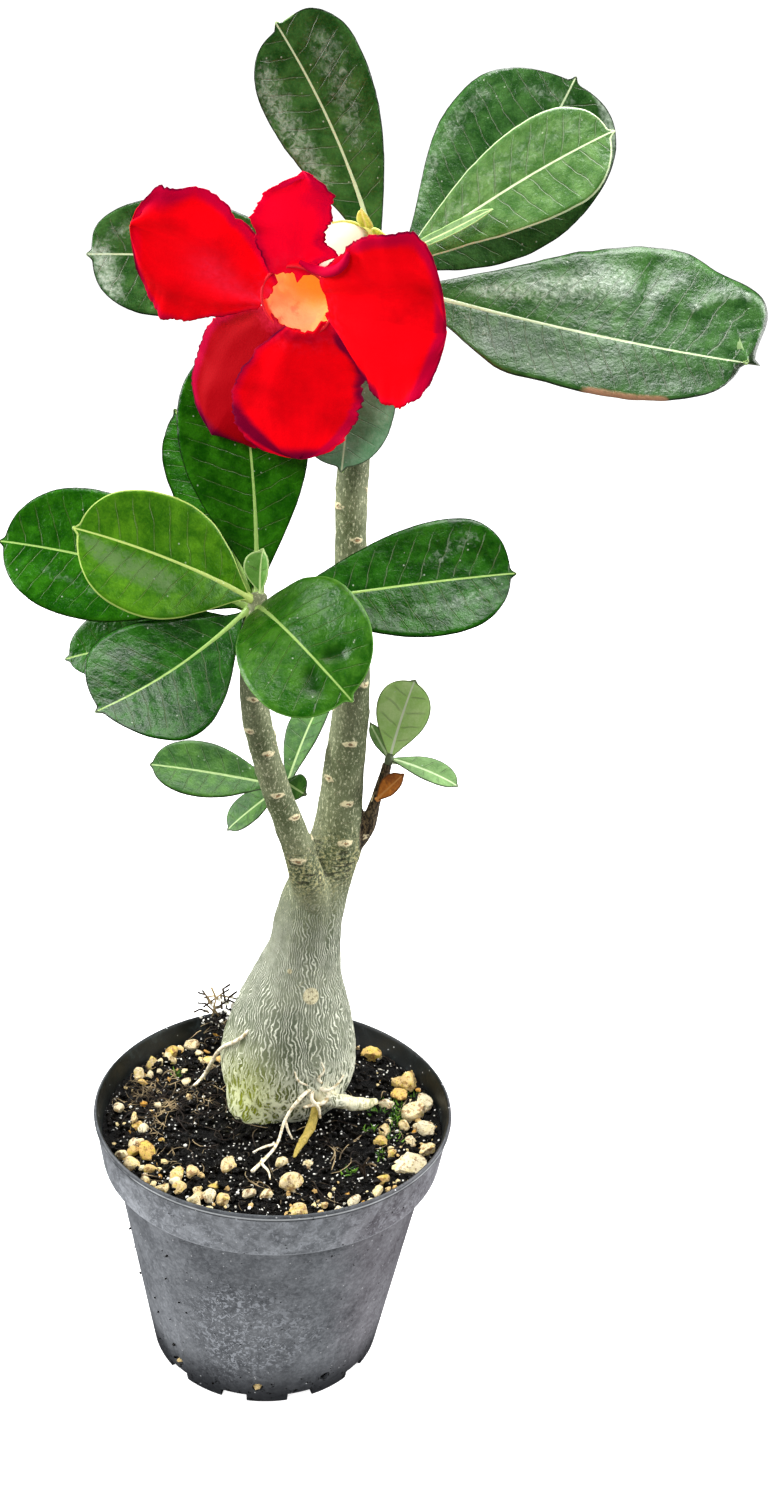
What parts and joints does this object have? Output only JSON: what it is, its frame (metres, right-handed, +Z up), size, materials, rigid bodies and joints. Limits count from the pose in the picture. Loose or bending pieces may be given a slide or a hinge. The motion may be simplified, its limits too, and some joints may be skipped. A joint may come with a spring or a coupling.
{
  "type": "potted desert rose",
  "caption": "Desert rose with a swollen grey-green caudex, bare stems, glossy spoon-shaped leaves and an open red flower, in a round tapered plastic nursery pot of soil and pumice.",
  "frame": {"origin": "middle of the pot's flat foot, on the pot's axis", "axes": "+Z up along the pot's axis, -Y towards the viewer and the flower's face, +X to the viewer's right"},
  "size_m": [0.1919, 0.1133, 0.3887],
  "materials": {
    "pot": "black moulded plastic with a dull blue-grey film, dust and fine scratches",
    "soil": "near-black peat with cream and ochre pumice stones and pale fibres",
    "bark": "matt grey-green skin with fine pale wrinkles and cream leaf scars",
    "leaf": "glossy dark green blade with a pale yellow-green midrib and fine side veins",
    "young_leaf": "satin pale yellow-green",
    "dried_leaf": "dull orange-brown, dry and curled",
    "petal": "velvety saturated red with a dark maroon edge and a yellow throat"
  },
  "bodies": {
    "root": {"pot": "pot", "soil": "soil", "caudex": "bark", "leaf_top_upright": "leaf", "leaf_top_back_right": "leaf", "leaf_top_front_right": "leaf", "leaf_top_right": "leaf", "leaf_top_hanging": "leaf", "leaf_top_left": "leaf", "leaf_side_upright": "leaf", "leaf_side_back": "leaf", "leaf_side_far_left": "leaf", "leaf_side_bright": "leaf", "leaf_side_low_front": "leaf", "leaf_side_low_back": "leaf", "leaf_side_front": "leaf", "leaf_side_right": "leaf", "side_shoot": "leaf", "twig_leaves": "leaf", "young_leaf_side": "young_leaf", "young_leaf_top": "young_leaf", "dried_leaf": "dried_leaf", "corolla": "petal", "calyx": "young_leaf"}
  },
  "joints": []
}
